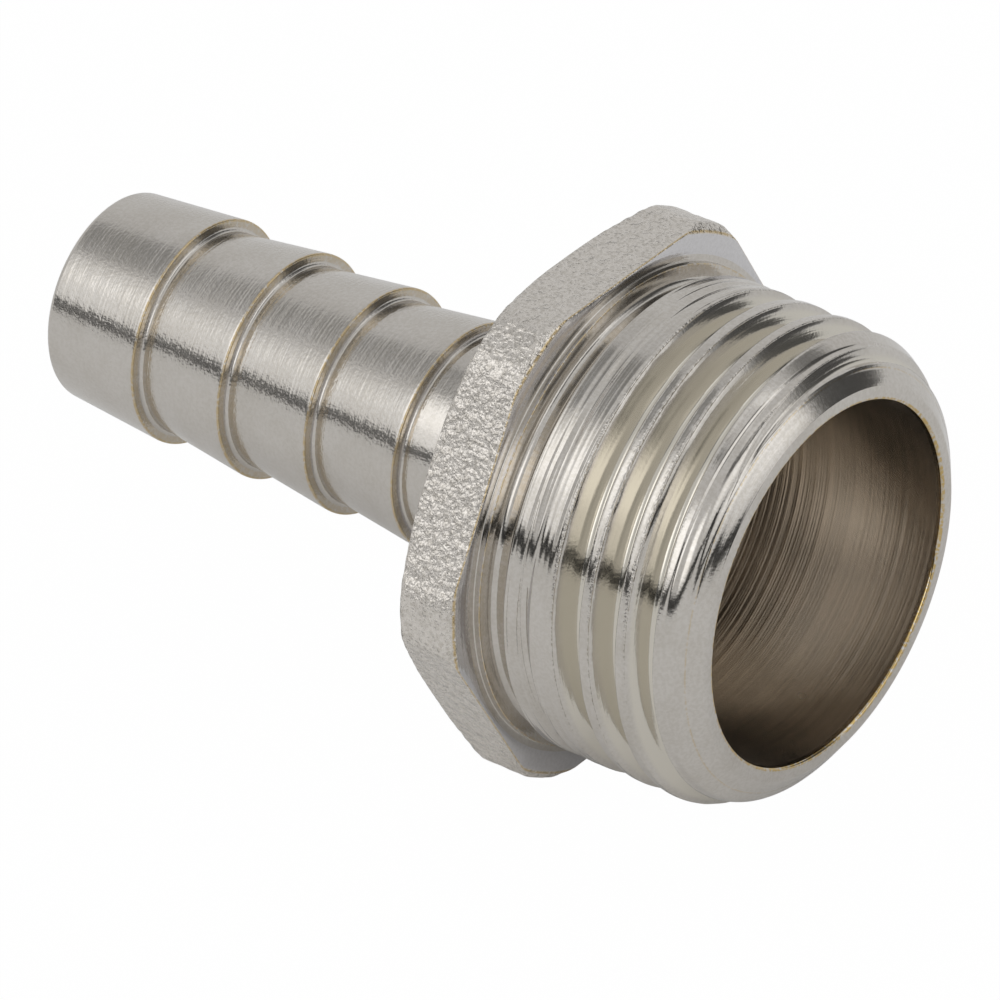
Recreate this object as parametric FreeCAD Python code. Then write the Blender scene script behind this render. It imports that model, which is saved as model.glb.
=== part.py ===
import FreeCAD, Part
import math
import os

# Hose barb tail: one piece of hexagon bar, forged, turned, bored, threaded and plated.
# Lengths are in millimetres. While the piece is turned its axis is Z, with the hexagon's
# thread-side face at Z = 0, the thread above it and the hose barbs below. It is then laid
# down along +X, thread end first, on one flat of its hexagon.

# Hexagon for the spanner
HEX_ACROSS_FLATS = 22.0
HEX_ACROSS_CORNERS = 24.2
HEX_THICKNESS = 3.0
HEX_BACK_CHAMFER_DEG = 22.0
HEX_FRONT_CHAMFER = 0.12

# Round step between the hexagon and the thread
BOSS_DIAMETER = 21.0
BOSS_HEIGHT = 0.3

# Relief turned between the step and the first crest, with a sloped side up to that crest
RELIEF_DIAMETER = 19.4
RELIEF_LENGTH = 0.7
RELIEF_SLOPE_LENGTH = 0.4

# Male pipe thread, half inch size, 14 threads to the inch, 55 degree flanks
THREAD_DIAMETER = 20.7
THREAD_PITCH = 1.814
THREAD_DEPTH = 1.08
THREAD_FLANK_DEG = 27.5
THREAD_CREST_WIDTH = 0.4
THREAD_START_DEG = 200
THREAD_END = 10.15

# Run-out: the groove climbs out of the metal towards the step, at a faster pitch
RUN_OUT_TURNS = 1.05
RUN_OUT_PITCH = 2.2
RUN_OUT_TO_RELIEF = 0.46

# End of the thread: a long chamfer over the crests, then a steeper nose to the end face
END_CHAMFER_LENGTH = 2.15
END_NOSE_DIAMETER = 19.3
END_NOSE_LENGTH = 0.85
END_FACE_WIDTH = 0.6

# Passage: a wide bore from the thread end, a drill cone, and a narrow bore through the tail
BORE_DIAMETER = 15.8
BORE_DEPTH = 10.6
DRILL_CONE_DEG = 59.0
TAIL_BORE_DIAMETER = 7.5
TAIL_BORE_CHAMFER = 0.25

# Hose barbs, counted from the hexagon towards the tail's end
BARB_DIAMETER = 10.0
BARB_COUNT = 4
BARB_PITCH = 4.6
BARB_LAND = 0.15
BARB_ROOT_DIAMETER = 8.9
BARB_ROOT_CHAMFER = 0.2
NECK_LENGTH = 5.5
NECK_DIAMETER = 9.0
NECK_CHAMFER = 0.4
TAIL_CONE_LENGTH = 5.05
TAIL_END_DIAMETER = 9.2
TAIL_RIM_CHAMFER = 0.25

# How far a cutting solid runs past the face that it cuts, and past the thread's crests
CUT_OVERRUN = 1.0
CREST_OVERRUN = 0.3


def point(radius, height):
    return FreeCAD.Vector(radius, 0, height)


def turned(corners):
    """Turns a closed outline of corners in the X-Z plane about Z."""
    face = Part.Face(Part.makePolygon(corners + corners[:1]))
    return face.revolve(FreeCAD.Vector(0, 0, 0), FreeCAD.Vector(0, 0, 1), 360)


def barb_steps():
    """Heights of the barbs' stepped faces, from the hexagon towards the tail's end."""
    first = -HEX_THICKNESS - NECK_LENGTH
    return [first - BARB_PITCH * k for k in range(BARB_COUNT)]


def tail_blank():
    """The barbed tail, solid, from its end up into the hexagon."""
    crest = BARB_DIAMETER / 2
    neck = NECK_DIAMETER / 2
    steps = barb_steps()
    end = steps[-1] - TAIL_CONE_LENGTH
    rim = TAIL_END_DIAMETER / 2
    slope = (crest - rim) / (TAIL_CONE_LENGTH - BARB_LAND)
    outline = [
        point(0, end),
        point(rim - TAIL_RIM_CHAMFER, end),
        point(rim + TAIL_RIM_CHAMFER * slope, end + TAIL_RIM_CHAMFER),
    ]
    # Each barb from the tail's end: top of its cone, narrow land, stepped face, root chamfer
    for step in reversed(steps):
        root = neck if step == steps[0] else BARB_ROOT_DIAMETER / 2
        outline += [
            point(crest, step - BARB_LAND),
            point(crest, step),
            point(root + BARB_ROOT_CHAMFER, step),
            point(root, step + BARB_ROOT_CHAMFER),
        ]
    outline += [
        point(neck, -HEX_THICKNESS - NECK_CHAMFER),
        point(neck + NECK_CHAMFER, -HEX_THICKNESS),
        point(neck + NECK_CHAMFER, -HEX_THICKNESS / 2),
        point(0, -HEX_THICKNESS / 2),
    ]
    return turned(outline)


def hexagon():
    """Hexagon plate with its corners turned round and a chamfer on the tail side."""
    # A flat faces +X here, and faces down once the piece is laid along +X
    corner = HEX_ACROSS_FLATS / 2 / math.cos(math.radians(30))
    turns = [math.radians(30 + 60 * k) for k in range(6)]
    ring = [FreeCAD.Vector(corner * math.cos(a), corner * math.sin(a), -HEX_THICKNESS) for a in turns]
    plate = Part.Face(Part.makePolygon(ring + ring[:1])).extrude(FreeCAD.Vector(0, 0, HEX_THICKNESS))

    flat_radius = HEX_ACROSS_FLATS / 2
    corner_radius = HEX_ACROSS_CORNERS / 2
    back_rise = (corner_radius - flat_radius) * math.tan(math.radians(HEX_BACK_CHAMFER_DEG))
    envelope = turned([
        point(0, -HEX_THICKNESS),
        point(flat_radius, -HEX_THICKNESS),
        point(corner_radius, -HEX_THICKNESS + back_rise),
        point(corner_radius, -HEX_FRONT_CHAMFER),
        point(corner_radius - HEX_FRONT_CHAMFER, 0),
        point(0, 0),
    ])
    return plate.common(envelope)


def boss():
    """Low round step on the hexagon's thread side."""
    height = BOSS_HEIGHT + HEX_THICKNESS / 2
    return Part.makeCylinder(BOSS_DIAMETER / 2, height, point(0, -HEX_THICKNESS / 2))


def groove_along(helix, outer):
    """Sweeps the groove's section, a V with a flat root, along a helix that starts at Z = 0."""
    flank = math.tan(math.radians(THREAD_FLANK_DEG))
    root = outer - THREAD_DEPTH
    over = outer + CREST_OVERRUN
    half_mouth = (THREAD_PITCH - THREAD_CREST_WIDTH) / 2
    half_root = half_mouth - THREAD_DEPTH * flank
    half_over = half_mouth + CREST_OVERRUN * flank
    section = Part.makePolygon([
        point(root, -half_root),
        point(over, -half_over),
        point(over, half_over),
        point(root, half_root),
        point(root, -half_root),
    ])
    return Part.Wire(helix.Edges).makePipeShell([section], True, True)


def thread_envelope(outer):
    """What the lathe leaves for the thread: relief, crests' cylinder, end chamfer and nose."""
    relief = RELIEF_DIAMETER / 2
    nose = END_NOSE_DIAMETER / 2
    lip = BORE_DIAMETER / 2 + END_FACE_WIDTH
    # Both slopes are drawn on past the crests, whose cylinder is cut separately
    wide = outer + CREST_OVERRUN
    relief_top = BOSS_HEIGHT + RELIEF_LENGTH
    relief_run = RELIEF_SLOPE_LENGTH * (wide - relief) / (outer - relief)
    nose_start = THREAD_END - END_NOSE_LENGTH
    chamfer_run = (END_CHAMFER_LENGTH - END_NOSE_LENGTH) * (wide - nose) / (outer - nose)
    return turned([
        point(0, -HEX_THICKNESS / 2),
        point(relief, -HEX_THICKNESS / 2),
        point(relief, relief_top),
        point(wide, relief_top + relief_run),
        point(wide, nose_start - chamfer_run),
        point(nose, nose_start),
        point(lip, THREAD_END),
        point(0, THREAD_END),
    ])


def thread():
    """Right-hand thread: a helical groove in a plain cylinder, trimmed to the lathe's outline."""
    outer = THREAD_DIAMETER / 2
    root = outer - THREAD_DEPTH
    run_length = RUN_OUT_TURNS * RUN_OUT_PITCH
    start = BOSS_HEIGHT + RELIEF_LENGTH + RELIEF_SLOPE_LENGTH + RUN_OUT_TO_RELIEF + run_length
    groove_end = THREAD_END + THREAD_PITCH
    full = groove_along(Part.makeHelix(THREAD_PITCH, groove_end - start, root), outer)

    # The run-out's helix is left-handed and climbs, and mirroring it makes it a right-handed
    # one that goes down. Its last part is clear of the crests by half of their overrun.
    cone_deg = math.degrees(math.atan((THREAD_DEPTH + CREST_OVERRUN / 2) / run_length))
    run_helix = Part.makeHelix(RUN_OUT_PITCH, run_length, root, cone_deg, True)
    run_out = groove_along(run_helix, outer).mirror(point(0, 0), FreeCAD.Vector(0, 0, 1))

    rod_length = groove_end + THREAD_PITCH + HEX_THICKNESS / 2
    rod = Part.makeCylinder(outer, rod_length, point(0, -HEX_THICKNESS / 2))
    for groove in (full, run_out):
        groove.translate(point(0, start))
        groove.rotate(point(0, 0), FreeCAD.Vector(0, 0, 1), THREAD_START_DEG)
        rod = rod.cut(groove)
    return rod.common(thread_envelope(outer))


def passage():
    """Wide bore, drill cone and narrow bore, as one solid to cut away."""
    wide = BORE_DIAMETER / 2
    narrow = TAIL_BORE_DIAMETER / 2
    tail_end = barb_steps()[-1] - TAIL_CONE_LENGTH
    floor = THREAD_END - BORE_DEPTH
    cone = (wide - narrow) / math.tan(math.radians(DRILL_CONE_DEG))
    flare = TAIL_BORE_CHAMFER + CUT_OVERRUN
    return turned([
        point(0, THREAD_END + CUT_OVERRUN),
        point(wide, THREAD_END + CUT_OVERRUN),
        point(wide, floor),
        point(narrow, floor - cone),
        point(narrow, tail_end + TAIL_BORE_CHAMFER),
        point(narrow + flare, tail_end - CUT_OVERRUN),
        point(0, tail_end - CUT_OVERRUN),
    ])


def hose_tail():
    blank = hexagon().fuse([tail_blank(), boss(), thread()]).removeSplitter()
    return blank.cut(passage()).Solids[0]


def lay_down(shape):
    """Turns the axis from +Z to +X and rests the piece on the hexagon's lower flat, with the
    origin at that flat's centre."""
    shape.translate(FreeCAD.Vector(0, 0, HEX_THICKNESS / 2))
    shape.rotate(FreeCAD.Vector(0, 0, 0), FreeCAD.Vector(0, 1, 0), 90)
    shape.translate(FreeCAD.Vector(0, 0, HEX_ACROSS_FLATS / 2))
    return shape


os.makedirs("parts", exist_ok=True)
tail = lay_down(hose_tail())
tail.exportStep("parts/hose_tail.step")
print("solids", len(tail.Solids), "valid", tail.isValid(), "volume", round(tail.Volume, 1), "mm3")
box = tail.optimalBoundingBox()
print("size", [round(length, 2) for length in (box.XLength, box.YLength, box.ZLength)], "mm")
print("ends", round(box.XMin, 3), round(box.XMax, 3))
print("centre of mass", [round(value, 2) for value in tail.CenterOfMass])
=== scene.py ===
import math

import bpy
import numpy as np
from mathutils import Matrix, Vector, noise


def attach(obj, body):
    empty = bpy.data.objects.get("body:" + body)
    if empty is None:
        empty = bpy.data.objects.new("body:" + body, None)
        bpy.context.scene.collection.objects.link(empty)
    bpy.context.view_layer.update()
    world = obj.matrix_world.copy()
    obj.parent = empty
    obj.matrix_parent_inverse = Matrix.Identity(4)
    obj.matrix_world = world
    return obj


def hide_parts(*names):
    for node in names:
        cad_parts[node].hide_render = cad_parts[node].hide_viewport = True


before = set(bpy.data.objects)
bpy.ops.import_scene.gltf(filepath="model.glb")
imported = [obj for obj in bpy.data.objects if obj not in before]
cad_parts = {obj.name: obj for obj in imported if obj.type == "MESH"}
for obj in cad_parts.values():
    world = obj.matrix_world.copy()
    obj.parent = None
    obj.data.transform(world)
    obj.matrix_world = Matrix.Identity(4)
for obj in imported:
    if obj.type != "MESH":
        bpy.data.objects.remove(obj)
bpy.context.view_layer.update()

# Barbed tail
# The stem that the hose is pushed over, turned from the same brass as the rest and plated. It is
# four cones in a row, each with a square step behind it that grips the hose, and a plain neck.
# Its outline is in millimetres: x from the hexagon's thread side, and r from the axis.
TAIL_END = -27.35
TAIL_END_RADIUS = 4.6
TAIL_BORE_RADIUS = 3.75
HEX_BACK = -3.0
AXIS_HEIGHT = 11.0
BARB_STEPS = (-22.3, -17.7, -13.1, -8.5)
BARB_CREST = 5.0
BARB_ROOT = 4.45
BARB_LAND = 0.15
NECK_RADIUS = 4.5
TAIL_BORE_EDGE = 0.25
TAIL_RIM_ROUNDING = 0.3
CREST_ROUNDING = 0.07
FOOT_ROUNDING = 0.17
NECK_ROUNDING = 0.4
# How far the worn plating reaches before and past a rounded edge, and how much it fades there
WORN_BEFORE, WORN_PAST, WORN_FADE = 0.03, 0.05, 0.35
# Radians that a rounded edge turns between two of its points
TURN_PER_POINT = 0.32
# Columns round the axis: of the tail, of the thread, and of the hexagon's pebbled sides
FEW, MORE, MOST = 150, 300, 600
NICKEL = (0.67, 0.64, 0.60, 1)
DULL_NICKEL = (0.54, 0.505, 0.45, 1)
BRASS = (0.60, 0.44, 0.19, 1)
# The skin is laid as grids, rows along the outline and columns round the axis. Each shares its
# edge rings with the next, so that they weld into one closed skin at the end.
grids = []
finishes = []


class Wire:
    """One socket of a material's nodes, on which sums are written as on numbers."""

    def __init__(self, tree, socket=None):
        self.tree = tree
        self.socket = socket

    def node(self, kind, settings=(), inputs=(), output=0):
        """Adds a node: its settings first, then the values or links of its sockets."""
        made = self.tree.nodes.new(kind)
        for name, value in dict(settings).items():
            setattr(made, name, value)
        for name, value in dict(inputs).items():
            if isinstance(value, Wire):
                self.tree.links.new(value.socket, made.inputs[name])
            else:
                made.inputs[name].default_value = value
        return Wire(self.tree, made.outputs[output])

    def feed(self, shader, name):
        """Links this to a socket of a shader or of the output."""
        self.tree.links.new(self.socket, shader.inputs[name])

    def math(self, operation, *values):
        return self.node("ShaderNodeMath", {"operation": operation}, enumerate(values))

    def __add__(self, other):
        return self.math("ADD", self, other)

    def __mul__(self, other):
        return self.math("MULTIPLY", self, other)

    def __sub__(self, other):
        return self.math("SUBTRACT", self, other)

    def __rsub__(self, other):
        return self.math("SUBTRACT", other, self)

    __radd__ = __add__
    __rmul__ = __mul__

    def between(self, low, high):
        """0 at low and 1 at high, with a smooth change."""
        inputs = {"Value": self, "From Min": low, "From Max": high}
        return self.node("ShaderNodeMapRange", {"interpolation_type": "SMOOTHSTEP"}, inputs)

    def paint(self, colour, other):
        """One colour where this is 0 and the other where it is 1."""
        return self.node("ShaderNodeMix", {"data_type": "RGBA"}, {0: self, 6: colour, 7: other}, 2)


class Finish(Wire):
    """A finish of the metal, measured in millimetres along and round the axis."""

    def __init__(self, name):
        material = bpy.data.materials.new(name)
        material.use_nodes = True
        super().__init__(material.node_tree)
        self.shader = material.node_tree.nodes["Principled BSDF"]
        self.shader.inputs["Metallic"].default_value = 1.0
        self.slot = len(finishes)
        finishes.append(material)
        metres = self.node("ShaderNodeTexCoord", output=3)
        to_millimetres = {0: metres, 1: (1000, 1000, 1000)}
        self.place = self.node("ShaderNodeVectorMath", {"operation": "MULTIPLY"}, to_millimetres)
        self.x, self.y, height = [
            self.node("ShaderNodeSeparateXYZ", inputs={0: self.place}, output=k) for k in range(3)
        ]
        self.z = height - AXIS_HEIGHT
        self.r = self.math("SQRT", self.y * self.y + self.z * self.z)

    def specks(self, scale, detail, rough=0.6):
        """Noise from 0 to 1, with about as many lumps to a millimetre as its scale."""
        inputs = {"Vector": self.place, "Scale": scale, "Detail": detail, "Roughness": rough}
        return self.node("ShaderNodeTexNoise", inputs=inputs)

    def rings(self, scale, drift, detail):
        """The lathe's lines: they run round the axis and change slowly along their way."""
        round_axis = {0: self.x, 1: self.r, 2: drift * self.y + 0.7 * drift * self.z}
        lines = self.node("ShaderNodeCombineXYZ", inputs=round_axis)
        inputs = {"Vector": lines, "Scale": scale, "Detail": detail, "Roughness": 0.65}
        return self.node("ShaderNodeTexNoise", inputs=inputs)

    def mark(self, name):
        """A value from 0 to 1 that the mesh carries at each of its points."""
        return self.node("ShaderNodeAttribute", {"attribute_name": name}, output=2)

    def relief(self, height):
        """A height in thousandths of a millimetre becomes the surface's bumps."""
        inputs = {"Strength": 1.0, "Distance": 0.000001, "Height": height}
        self.node("ShaderNodeBump", inputs=inputs).feed(self.shader, "Normal")


turned = Finish("nickel_over_turned_brass")
cloud = turned.specks(0.45, 1.0)
grain = turned.specks(6.5, 1.0)
lines = turned.rings(7.0, 0.02, 1.0)
dull = cloud.between(0.35, 0.7) * 0.25 + grain.between(0.32, 0.68) * 0.3
plate = dull.paint(NICKEL, DULL_NICKEL)
# Brass shows where the mesh's mark says: worn plating at the edges, and on the barbs' faces partly
# worn plating and partly painted shade
worn = turned.mark("bare") * grain.between(0.2, 0.55)
worn.paint(plate, BRASS).feed(turned.shader, "Base Color")
(0.15 + cloud * 0.06 + worn * 0.1).feed(turned.shader, "Roughness")
turned.relief(lines * 10 + turned.rings(2.2, 0.02, 0.0) * 10 + grain * 8)


def soften(corners):
    """Points of an outline given by corners of (x, r, rounding radius, bare metal from 0 to 1)."""
    outline = []
    for before, corner, after in zip([None] + corners[:-1], corners, corners[1:] + [None]):
        x, r, radius, bare = corner
        if before is None or after is None or radius == 0:
            outline.append((x, r, bare))
            continue
        here = Vector((x, r))
        back = (Vector(before[:2]) - here).normalized()
        on = (Vector(after[:2]) - here).normalized()
        half = math.acos(max(-1.0, min(1.0, back.dot(on)))) / 2
        reach = radius / math.tan(half)
        centre = here + (back + on).normalized() * (radius / math.sin(half))
        first, last = here + back * reach, here + on * reach
        if bare:
            outline.append((*(first + back * WORN_BEFORE), 0.0))
        steps = max(2, round((math.pi - 2 * half) / TURN_PER_POINT))
        for k in range(steps + 1):
            arm = (first - centre).lerp(last - centre, k / steps)
            outline.append((*(centre + arm.normalized() * radius), bare))
        if bare:
            outline.append((*(last + on * WORN_PAST), bare * WORN_FADE))
    return outline


def lay(x, r, bare, around, slot):
    """Adds a grid of the skin. Column angles start straight down and go towards +Y."""
    angle = np.linspace(0, 2 * math.pi, around + 1)
    x, r, bare = (np.broadcast_to(v, (len(x), around + 1)) for v in (x, r, bare))
    points = np.stack([x, r * np.sin(angle), -r * np.cos(angle)], -1).reshape(-1, 3)
    row, column = np.indices((len(x) - 1, around))
    first = (row * (around + 1) + column).reshape(-1)
    faces = np.stack([first, first + 1, first + around + 2, first + around + 1], -1)
    grids.append((points, bare.reshape(-1), faces, slot))


def turn(outline, around, slot):
    """Adds a grid that is the same all the way round."""
    x, r, bare = (np.array(v)[:, None] for v in zip(*outline))
    lay(x, r, bare, around, slot)


def widen(x, few_r, many_x, many_r, few, slot, towards_end=False):
    """A ring with twice as many columns along one edge as along the other."""
    angle = np.linspace(0, 2 * math.pi, 2 * few + 1)
    inner = [(x, few_r * math.sin(a), -few_r * math.cos(a)) for a in angle[::2]]
    outer = [(many_x, many_r * math.sin(a), -many_r * math.cos(a)) for a in angle]
    k, m = np.arange(few), few + 1 + 2 * np.arange(few)
    triangles = [(k, k + 1, m + 1), (k, m + 1, m), (k + 1, m + 2, m + 1)]
    faces = np.concatenate([np.stack([*t, t[2]], -1) for t in triangles])
    if towards_end:
        faces = faces[:, ::-1]
    grids.append((np.array(inner + outer), np.zeros(3 * few + 2), faces, slot))


# Two rings on each barb's face, below its crest and above its foot, and how much brass is painted
# on the face: partly worn plating and partly painted shade, which darkens the face under its crest
BELOW_CREST, ABOVE_FOOT, FACE_WEAR_AND_SHADE = 0.16, 0.21, 0.3
barbs = [
    (TAIL_END, TAIL_BORE_RADIUS + TAIL_BORE_EDGE, 0.06, 0.3),
    (TAIL_END, TAIL_END_RADIUS, TAIL_RIM_ROUNDING, 0),
]
for step in BARB_STEPS:
    root = NECK_RADIUS if step == BARB_STEPS[-1] else BARB_ROOT
    barbs += [
        (step - BARB_LAND, BARB_CREST, 0.1, 0),
        (step, BARB_CREST, CREST_ROUNDING, 0.7),
        (step, BARB_CREST - BELOW_CREST, 0, FACE_WEAR_AND_SHADE),
        (step, root + ABOVE_FOOT, 0, FACE_WEAR_AND_SHADE),
        (step, root, FOOT_ROUNDING, 0),
    ]
NECK_FACE = 6.0
barbs += [(HEX_BACK, NECK_RADIUS, NECK_ROUNDING, 0), (HEX_BACK, NECK_FACE, 0, 0)]
turn(soften([(TAIL_END + TAIL_BORE_EDGE, TAIL_BORE_RADIUS, 0, 0)] + barbs), FEW, turned.slot)

# Hexagon
# A thin collar for the spanner. Its six sides keep the pebbled skin of the hot forging and the
# blasting that cleaned it, while both of its faces and its corners were turned before plating.
HEX_FLAT = 11.0
HEX_CORNER = 12.1
HEX_WIDTH = 3.0
HEX_BACK_SLOPE = math.tan(math.radians(22))
# The front corners: their radius at the thread's side, and how fast they grow away from it
HEX_FRONT_CORNER, HEX_FRONT_SLOPE = 11.72, 1.4
HEX_BACK_EDGE, HEX_FRONT_EDGE = 0.12, 0.05
# Radii at which the faces' rings meet
BACK_RINGS = (8.0, 9.6)
HEX_FACE = 10.86
FORGED_NICKEL = (0.80, 0.76, 0.71, 1)
FACED_NICKEL = (0.70, 0.69, 0.70, 1)
FACED_GREY = (0.65, 0.64, 0.645, 1)

forged = Finish("nickel_over_forged_brass")
pebble = forged.specks(2.3, 1.0, 0.5)
chip = forged.specks(5.5, 1.0, 0.6)
dust = forged.specks(15.0, 0.0)
worn = forged.mark("bare") * chip.between(0.25, 0.5)
dull = chip.between(0.4, 0.7) * 0.55 + dust.between(0.4, 0.7) * 0.2
plate = dull.paint(FORGED_NICKEL, DULL_NICKEL)
worn.paint(plate, BRASS).feed(forged.shader, "Base Color")
(0.2 + dust * 0.12).feed(forged.shader, "Roughness")
forged.relief(pebble * 130 + chip * 62 + dust * 10)


def least(a, b, blend):
    """The smaller of two values, with a rounded change from one to the other."""
    h = np.clip(0.5 + 0.5 * (b - a) / blend, 0, 1)
    return b + (a - b) * h - blend * h * (1 - h)


def pebbles(x, y, z):
    """Depth of the forged skin at a point, in millimetres: lumps and pits."""
    lump = noise.noise(Vector((x * 1.9, y * 1.9, z * 1.9)))
    pit = noise.noise(Vector((x * 3.3 + 40, y * 3.3, z * 3.3)))
    return 0.018 + 0.016 * lump + 0.03 * max(0.0, pit - 0.1)


faced = Finish("nickel_over_faced_brass")
grain = faced.specks(6.0, 1.0)
plate = grain.between(0.3, 0.7).paint(FACED_NICKEL, FACED_GREY)
plate.feed(faced.shader, "Base Color")
(0.12 + grain * 0.06).feed(faced.shader, "Roughness")
faced.relief(faced.rings(5.0, 0.02, 1.0) * 14 + grain * 5)

widen(HEX_BACK, NECK_FACE, HEX_BACK, BACK_RINGS[0], FEW, faced.slot)
widen(HEX_BACK, BACK_RINGS[0], HEX_BACK, BACK_RINGS[1], MORE, faced.slot)
angle = np.linspace(0, 2 * math.pi, MOST + 1)
from_flat = (angle + math.pi / 6) % (math.pi / 3) - math.pi / 6
prism = least(HEX_FLAT / np.cos(from_flat), HEX_CORNER, 0.16)
# The pebbles fade out this near to an edge
PEBBLES_FROM = 0.12
# Rows of the sides from the tail's side to the thread's side, close together at both edges
back_rows = [0, 0.012, 0.03, 0.06, 0.1, 0.16, 0.24]
front_rows = [2.86, 2.91, 2.95, 2.975, HEX_WIDTH]
middle_rows = [0.24 + 2.62 * k / 22 for k in range(1, 22)]
along = np.array(back_rows + middle_rows + front_rows)[:, None]
hexagon = least(prism, HEX_FLAT + along / HEX_BACK_SLOPE, 0.1)
hexagon = least(hexagon, HEX_FRONT_CORNER + (HEX_WIDTH - along) * HEX_FRONT_SLOPE, 0.12)
for edge, distance in ((HEX_BACK_EDGE, along), (HEX_FRONT_EDGE, HEX_WIDTH - along)):
    away = np.clip(edge - distance, 0, edge)
    hexagon = hexagon - (edge - np.sqrt(edge ** 2 - away ** 2))
hexagon = np.minimum(hexagon, prism)
skin = np.zeros_like(hexagon)
for (i, j), r in np.ndenumerate(hexagon):
    if 0 < i < len(along) - 1 and j < MOST:
        row = along[i, 0]
        hold = min(1.0, row / PEBBLES_FROM, (HEX_WIDTH - row) / PEBBLES_FROM)
        skin[i, j] = hold * pebbles(row, r * math.sin(angle[j]), r * math.cos(angle[j]))
skin[:, -1] = skin[:, 0]
# Brass shows along the front edge, between these distances from the tail's side
WORN_FROM, WORN_TO, WEAR = 2.93, 2.995, 0.8
bare = np.where((along > WORN_FROM) & (along < WORN_TO), WEAR, 0.0) * np.ones_like(hexagon)
back_face = (HEX_BACK, BACK_RINGS[1] + 0 * angle, hexagon[0])
front_face = (0.0, hexagon[-1], HEX_FACE + 0 * angle)
for x, near, far in (back_face, front_face):
    lay(np.array([[x], [x]]), np.stack([near, far]), 0.0, MOST, faced.slot)
lay(HEX_BACK + along, hexagon - skin, bare, MOST, forged.slot)

# Step and relief
# A low round step that centres the sealing washer, and a groove turned behind the first crest so
# that the washer can lie flat on the hexagon. The groove's side runs up to the thread.
STEP_RADIUS = 10.5
STEP_HEIGHT = 0.3
RELIEF_RADIUS = 9.7
RELIEF_END = 1.0
FIRST_CREST = 1.4
MARKED_FROM = 1.52
CREST_RADIUS = 10.35
THREAD_FROM = 1.9
STEP_FACE = STEP_RADIUS + 0.3
# A paler, warmer colour painted in the thread's grooves: a painted reflection of the bright tent
# that their sides face
GROOVE_PAINTED_REFLECTION = (0.71, 0.675, 0.60, 1)

cut = Finish("nickel_over_cut_thread")
cloud = cut.specks(0.5, 1.0)
grain = cut.specks(6.5, 1.0)
lines = cut.rings(8.0, 0.012, 1.0)
tears = cut.mark("torn")
dull = cloud.between(0.35, 0.7) * 0.25 + grain.between(0.32, 0.68) * 0.4
plate = dull.paint(NICKEL, DULL_NICKEL)
# Deeper in the grooves the plate turns to the paler, warmer colour, a painted reflection
plate = cut.mark("sunk").between(0.05, 0.3).paint(plate, GROOVE_PAINTED_REFLECTION)
worn = cut.mark("bare") * grain.between(0.3, 0.6)
worn.paint(plate, BRASS).feed(cut.shader, "Base Color")
(0.1 + cloud * 0.05 + tears * 0.12).feed(cut.shader, "Roughness")
cut.relief(lines * 3 + cut.rings(3.0, 0.012, 0.0) * 5 + grain * (2.5 + tears * 40))

# Marks that the lathe left all the way round: their place along x, how wide they are before and
# after it, and their depth
LATHE_MARKS = (
    (1.5, 0.07, 0.07, 0.02),
    (2.03, 0.09, 0.09, 0.036),
    (2.45, 0.2, 0.25, 0.085),
    (2.86, 0.05, 0.08, 0.035),
    (3.13, 0.04, 0.06, 0.03),
    (3.42, 0.05, 0.1, 0.035),
    (8.86, 0.035, 0.2, 0.05),
    (9.5, 0.055, 0.055, 0.025),
    (9.66, 0.02, 0.02, 0.02),
)


def ridges(x):
    """Height of the lathe's wavy marks, the same all the way round."""
    waves = np.vectorize(lambda at: noise.noise(Vector((at * 2.6, 7.3, 1.1))))
    height = 0.012 * waves(x)
    for at, before, after, depth in LATHE_MARKS:
        height = height - depth * np.exp(-((x - at) / np.where(x < at, before, after)) ** 2)
    return height


widen(0.0, STEP_FACE, 0.0, HEX_FACE, MORE, faced.slot, True)
before_thread = soften([
    (0.0, STEP_FACE, 0, 0),
    (0.0, STEP_RADIUS, 0.05, 0),
    (STEP_HEIGHT, STEP_RADIUS, 0.03, 0.6),
    (STEP_HEIGHT, RELIEF_RADIUS, 0.3, 0),
    (RELIEF_END, RELIEF_RADIUS, 0.2, 0),
    (FIRST_CREST, CREST_RADIUS, 0.08, 0),
    (MARKED_FROM, CREST_RADIUS + float(ridges(MARKED_FROM)), 0, 0),
])
for x in (1.57, 1.62, 1.68, 1.74, 1.8, 1.85, THREAD_FROM):
    before_thread.append((x, CREST_RADIUS + float(ridges(x)), 0.0))
turn(before_thread, MORE, cut.slot)

# Male thread
# A half inch pipe thread cut with a single point tool. Its groove climbs out of the metal over
# the first crest, and the end chamfer cuts through the last turn. The crests are a little crowned
# and carry fine burrs along the side that the tool left last.
THREAD_TO = 9.6
THREAD_END = 10.15
PITCH = 1.814
CREST_WIDTH = 0.4
DEPTH = 1.08
FLANK = math.tan(math.radians(27.5))
ROOT_HALF = (PITCH - CREST_WIDTH) / 2 - DEPTH * FLANK
FULL_FROM = 4.17
FULL_ANGLE = 200.0
RUN_PITCH = 2.2
RUN_TURNS = 1.05
RUN_RISE = 1.23
CROWN = 0.03
CROWN_REACH = 0.14
# Height of the burrs, and how fast they change along the axis and round it
BURR = 0.02
BURRS_ALONG, BURRS_ROUND = 3, 14
LEDGE = 0.014
ROOT_DISH = 0.006
BORE_RADIUS = 7.9
BORE_FROM = THREAD_END - 0.3

end = soften([
    (THREAD_FROM, CREST_RADIUS, 0, 0),
    (8.0, CREST_RADIUS, 0.8, 0),
    (9.3, 9.65, 0.8, 0),
    (THREAD_END, 8.5, 0.16, 0),
    (THREAD_END, BORE_RADIUS, 0.13, 1.0),
    (BORE_FROM, BORE_RADIUS, 0, 0),
])
end_x, end_r, _ = (np.array(v) for v in zip(*end))
turning = int(np.argmax(end_x)) + 1


def lathe(x):
    """Radius that the lathe left for the thread at x, before the thread was cut."""
    return np.interp(x, end_x[:turning], end_r[:turning]) + ridges(x)


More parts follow.
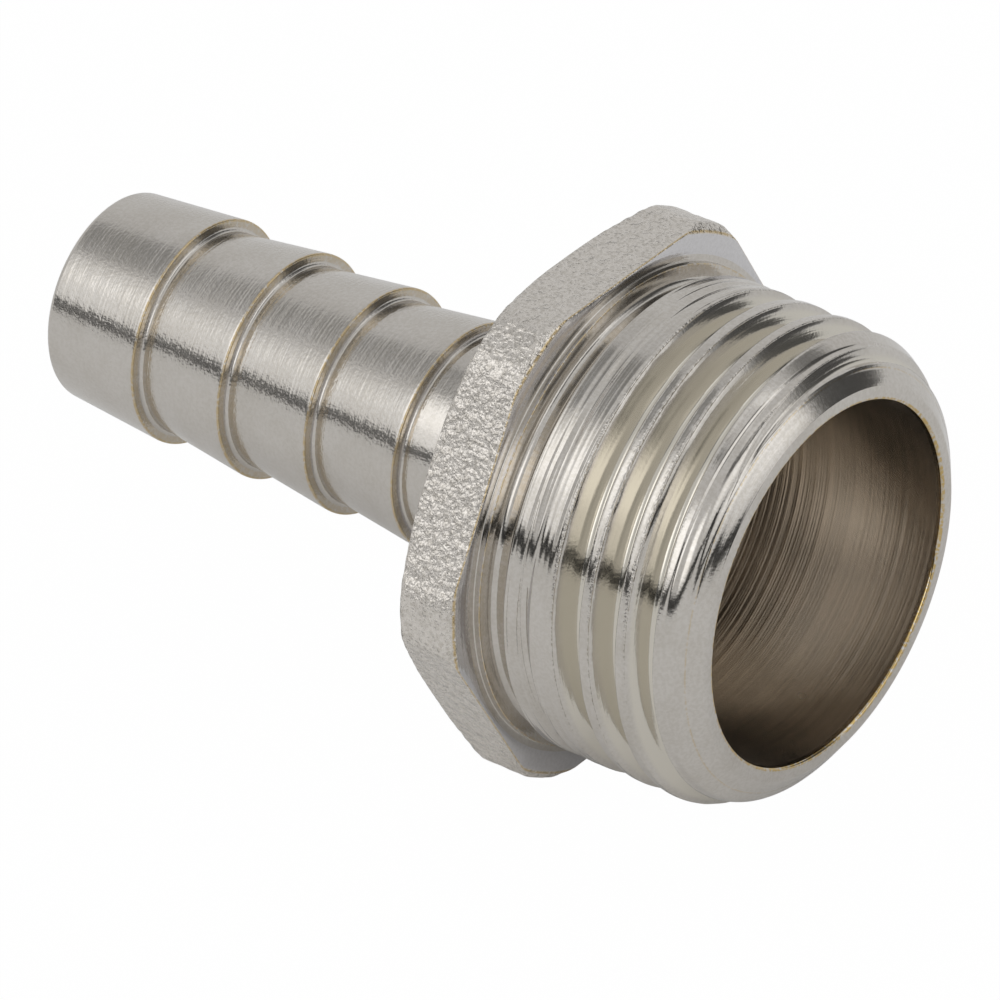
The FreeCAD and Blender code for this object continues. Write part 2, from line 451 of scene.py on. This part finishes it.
def groove(turns):
    """Rows across the groove at an angle in degrees along its helix: x, r, and its drop."""
    past = (turns - FULL_ANGLE) / 360
    centre = FULL_FROM + past * np.where(past > 0, PITCH, RUN_PITCH)
    depth = np.clip(DEPTH + np.minimum(past, 0) * RUN_RISE / RUN_TURNS, 0, DEPTH)
    root = CREST_RADIUS - depth
    rows = []
    for side, shares in ((-1, (1, 0.93, 0.75, 0.56, 0.47, 0.3, 0.06)), (1, (0, 0.5, 0.92, 1))):
        # Halving finds how much of the flank's height lies below the lathe's surface
        low, high = np.zeros_like(root), np.ones_like(root)
        for _ in range(22):
            mid = (low + high) / 2
            above = root + mid * depth > lathe(centre + side * (ROOT_HALF + mid * depth * FLANK))
            high, low = np.where(above, mid, high), np.where(above, low, mid)
        for share in shares:
            rise = share * high * depth
            out = side * (ROOT_HALF + rise * FLANK)
            # The tool's second pass left a fine ledge half way down the side that faces the end
            if side == -1 and 0.2 < share < 0.5:
                out = out + LEDGE * depth * high
            x = np.clip(centre + out, THREAD_FROM, THREAD_TO)
            r = lathe(x) - CROWN * depth * high if share == 1 else np.minimum(root + rise, lathe(x))
            rows.append((x, r, side * depth * high))
        if side == -1:
            for share in (-0.4, 0.4):
                x = np.clip(centre + share * ROOT_HALF, THREAD_FROM, THREAD_TO)
                rows.append((x, np.minimum(root - ROOT_DISH * depth, lathe(x)), 0 * x))
    return rows


columns = np.linspace(0, 360, MORE + 1)
# Rows of a crest: their distances from its two edges, and the places of the rows between
by_left = (0.02, 0.05, 0.09, 0.13, 0.18)
by_right = (0.17, 0.13, 0.09, 0.05, 0.02)
fixed = [2.0 + 0.09 * k for k in range(20)]
fixed += [8.75, 8.79, 8.82, 8.84, 8.87, 8.92]
fixed += [9.0 + 0.06 * k for k in range(10)]
first_edge, last_edge = THREAD_FROM + 0 * columns, THREAD_TO + 0 * columns
rows = [(first_edge, lathe(first_edge), 0 * first_edge)]
torn = [0 * first_edge]
LAST_TURN = 4
for m in range(-1, LAST_TURN + 1):
    if m < LAST_TURN:
        across = groove(columns + 360 * m)
    else:
        across = [(last_edge, lathe(last_edge), 0 * last_edge)]
    left, _, left_depth = rows[-1]
    right, _, right_depth = across[0]
    half = (right - left) / 2
    crest = [left + np.minimum(near, half) for near in by_left]
    crest += [np.clip(at, crest[-1], right - np.minimum(by_right[0], half)) for at in fixed]
    crest += [right - np.minimum(near, half) for near in by_right]
    for x in crest:
        near_left = np.clip(1 - (x - left) / CROWN_REACH, 0, 1)
        near_right = np.clip(1 - (right - x) / CROWN_REACH, 0, 1)
        drop = CROWN * (np.abs(left_depth) * near_left ** 2 + np.abs(right_depth) * near_right ** 2)
        rows.append((x, lathe(x) - drop, 0 * x))
        torn.append(np.abs(right_depth) * near_right + 0.4 * np.abs(left_depth) * near_left)
    rows += across
    torn += [np.abs(depth) * (0.9 if k == 0 else 0.0) for k, (x, r, depth) in enumerate(across)]
thread_x = np.stack([x for x, r, depth in rows])
thread_r = np.stack([r for x, r, depth in rows])
thread_torn = np.stack(torn)
turn_angle = np.radians(columns % 360)
for (i, j), share in np.ndenumerate(thread_torn):
    if share > 0:
        a = turn_angle[j]
        across_burr = BURRS_ROUND * math.sin(a), BURRS_ROUND * math.cos(a)
        at = Vector((thread_x[i, j] * BURRS_ALONG, *across_burr))
        thread_r[i, j] += share * BURR * noise.noise(at)
# The groove's rows carry their depth below the crests as a negative mark, from this depth on
SUNK_FROM = 0.08
sunk = np.clip(lathe(thread_x) - SUNK_FROM - thread_r, 0, 1)
lay(thread_x, thread_r, np.where(sunk > 0, -sunk, thread_torn), MORE, cut.slot)
# The lathe's last mark shows brass, and past it the outline's own points take over
WORN_MARK, PLAIN_FROM = 9.66, 9.93
mouth_x = (THREAD_TO, 9.63, WORN_MARK, 9.69, 9.73, 9.78, 9.84, 9.9)
mouth = [(x, float(lathe(x)), 0.5 if x == WORN_MARK else 0.0) for x in mouth_x]
mouth += end[int(np.argmax(end_x > PLAIN_FROM)):]
turn(mouth, MORE, cut.slot)

# Bore
# Drilled and bored from the thread's end, with the drill's cone at its floor and a narrow hole
# on through the tail. The plating hardly reaches in, so brass and the boring tool's rings show.
BORE_FLOOR = -0.45
CONE_END = BORE_FLOOR - (BORE_RADIUS - TAIL_BORE_RADIUS) / math.tan(math.radians(59))
DARK_BRASS = (0.57, 0.525, 0.465, 1)
PALE_BRASS = (0.71, 0.64, 0.555, 1)

bored = Finish("bored_brass")
cloud = bored.specks(0.4, 2.0)
deep = 1 - bored.x.between(0.5, 8.0)
feed = bored.rings(5.0, 0.003, 1.0)
tone = feed.between(0.35, 0.65) * 0.5 + cloud.between(0.3, 0.7) * 0.5
tone.paint(DARK_BRASS, PALE_BRASS).feed(bored.shader, "Base Color")
(0.2 + cloud * 0.1).feed(bored.shader, "Roughness")
fine = bored.rings(12.0, 0.004, 0.0)
bored.relief(feed * (9 + deep * 42) + fine * (4 + deep * 12))

wall = [(BORE_FROM - (BORE_FROM - BORE_FLOOR) * k / 6, BORE_RADIUS, 0) for k in range(7)]
cone_x = BORE_FLOOR * 0.2 + CONE_END * 0.8
cone_r = BORE_RADIUS * 0.2 + TAIL_BORE_RADIUS * 0.8
turn(wall + [(cone_x, cone_r, 0)], MORE, bored.slot)
widen(CONE_END, TAIL_BORE_RADIUS, cone_x, cone_r, FEW, bored.slot, True)
hole_depth = CONE_END - TAIL_END - TAIL_BORE_EDGE
turn([(CONE_END - hole_depth * k / 6, TAIL_BORE_RADIUS, 0) for k in range(7)], FEW, bored.slot)

# The whole piece
# Tail, hexagon, thread and bore are one forging, so their grids weld into one closed skin.
# Weighted normals keep the long cones and the faces true beside their small rounded edges.
WELD = 1e-4
SHIFT = (1.5, 0, AXIS_HEIGHT)
points = np.concatenate([g[0] for g in grids])
marks = np.concatenate([np.broadcast_to(g[1], len(g[0])) for g in grids])
starts = np.cumsum([0] + [len(g[0]) for g in grids[:-1]])
faces = np.concatenate([g[2] + s for g, s in zip(grids, starts)])
slots = np.concatenate([np.full(len(g[2]), g[3]) for g in grids])
cells = np.round(points / WELD).astype(np.int64)
_, kept, weld = np.unique(cells, axis=0, return_index=True, return_inverse=True)
polygons, finish_of = [], []
for face, slot in zip(weld.reshape(-1)[faces].tolist(), slots.tolist()):
    corners = [v for v, before in zip(face, face[-1:] + face[:-1]) if v != before]
    if len(set(corners)) > 2:
        polygons.append(corners)
        finish_of.append(slot)
placed = (points[kept] + SHIFT) / 1000
mesh = bpy.data.meshes.new("hose_tail_skin")
mesh.from_pydata(placed.tolist(), [], polygons)
mesh.polygons.foreach_set("material_index", finish_of)
mesh.polygons.foreach_set("use_smooth", [True] * len(polygons))
thread_grid = [g[3] == cut.slot and len(g[0]) == thread_torn.size for g in grids]
is_thread = [np.full(len(g[0]), t) for g, t in zip(grids, thread_grid)]
is_thread = np.concatenate(is_thread)[kept]
marks = marks[kept]
shares = {"bare": marks * ~is_thread, "torn": marks * is_thread, "sunk": -marks * is_thread}
for name, values in shares.items():
    values = np.clip(values, 0, 1).astype(np.float32)
    mesh.attributes.new(name, "FLOAT", "POINT").data.foreach_set("value", values)
for material in finishes:
    mesh.materials.append(material)
mesh.update()
piece = bpy.data.objects.new("hose_tail_skin", mesh)
bpy.context.scene.collection.objects.link(piece)
true_faces = piece.modifiers.new("true_faces", "WEIGHTED_NORMAL")
true_faces.keep_sharp = True
true_faces.weight = 60
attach(piece, "root")
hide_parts("hose_tail")

# Table
# A white table top under the piece. To the camera it is as white as the tent round it, but for
# the piece's faint shadow. In the metal it is a matt white that the tent lights.
TABLE_RADIUS = 1.2
bpy.ops.mesh.primitive_circle_add(vertices=96, radius=TABLE_RADIUS, fill_type="NGON")
table = bpy.context.object
table.name = "table"
paper = bpy.data.materials.new("white_table")
paper.use_nodes = True
table.data.materials.append(paper)
top = Wire(paper.node_tree)
seen = top.node("ShaderNodeLightPath", output=0)
mirrored = top.node("ShaderNodeLightPath", output=3)
matt = top.node("ShaderNodeBsdfDiffuse", inputs={"Color": (0.94, 0.94, 0.94, 1)})
lit = top.node("ShaderNodeEmission", inputs={"Color": (1, 1, 1, 1), "Strength": 1.0})
shown = top.node("ShaderNodeMixShader", inputs={0: seen * 0.99 + mirrored * 0.04, 1: matt, 2: lit})
shown.feed(paper.node_tree.nodes["Material Output"], "Surface")

# Light tent
# White cloth all round, with soft lamps behind it. Dark gaps are left along its foot, overhead and
# at the back, and the metal mirrors lamps and gaps as its bright and dark bands. To the camera the
# cloth is plain white.
CLOTH = 0.64
# Each lamp's strength, then its heading, half width, foot, top and soft edge in degrees
LAMPS = (
    (0.24, (-135, 19, 11, 52, 4)),
    (0.56, (-129, 12, 28, 62, 5)),
    (0.2, (-122, 9, 9, 30, 4)),
    (0.9, (-58, 14, 12, 40, 6)),
    (0.34, (15, 35, 14, 74, 8)),
    (0.22, (10, 26, 23, 36, 4)),
)
# What each gap lets through, then its place in the same way
GAPS = (
    (0.02, (-67, 82, 0.6, 8.6, 1.0)),
    (0.13, (55, 15, -4, 38, 6)),
    (0.35, (74, 10, 28, 50, 5)),
    (0.82, (-108, 7, 12, 50, 4)),
    (0.46, (180, 24, 44, 60, 5)),
    (0.88, (150, 28, 40, 74, 8)),
    (0.12, (2, 30, 46, 62, 5)),
)
world = bpy.data.worlds.new("light_tent")
bpy.context.scene.world = world
world.use_nodes = True
tent = Wire(world.node_tree)
seen = tent.node("ShaderNodeLightPath", output=0)
towards = tent.node("ShaderNodeTexCoord", output=0)
up = tent.node("ShaderNodeSeparateXYZ", inputs={0: towards}, output=2)
level_way = tent.node("ShaderNodeVectorMath", {"operation": "MULTIPLY"}, {0: towards, 1: (1, 1, 0)})
level_way = tent.node("ShaderNodeVectorMath", {"operation": "NORMALIZE"}, {0: level_way})


def panel(heading, half, low, high, soft):
    """1 in a part of the tent: its heading, half width, foot, top and soft edge in degrees."""
    way = (math.cos(math.radians(heading)), math.sin(math.radians(heading)), 0)
    dot = tent.node("ShaderNodeVectorMath", {"operation": "DOT_PRODUCT"}, {0: level_way, 1: way}, 1)
    near, far = (math.cos(math.radians(a)) for a in (max(0.0, half - soft), half + soft))
    beside = dot.between(far, near)
    foot, top = (math.sin(math.radians(a)) for a in (low, high))
    edge = math.sin(math.radians(soft))
    return beside * up.between(foot - edge, foot + edge) * (1 - up.between(top - edge, top + edge))


glow = CLOTH
for strength, place in LAMPS:
    glow = glow + strength * panel(*place)
for left, place in GAPS:
    glow = glow * (1 - (1 - left) * panel(*place))
glow = glow + seen * (1 - glow)
backdrop = tent.node("ShaderNodeBackground", inputs={"Color": (1, 1, 1, 1), "Strength": glow})
backdrop.feed(world.node_tree.nodes["World Output"], "Surface")

# Camera
# A long lens from the thread's side and above, at the photograph's angle.
camera_data = bpy.data.cameras.new("camera")
camera = bpy.data.objects.new("camera", camera_data)
bpy.context.scene.collection.objects.link(camera)
bpy.context.scene.camera = camera
camera_data.lens = 385.07
camera_data.clip_start = 0.05
camera_data.clip_end = 10
camera.location = (0.224387, -0.290585, 0.253691)
camera.rotation_euler = [math.radians(a) for a in (56.4941, 1.1018, 37.5929)]
bpy.context.scene.view_settings.view_transform = "Standard"
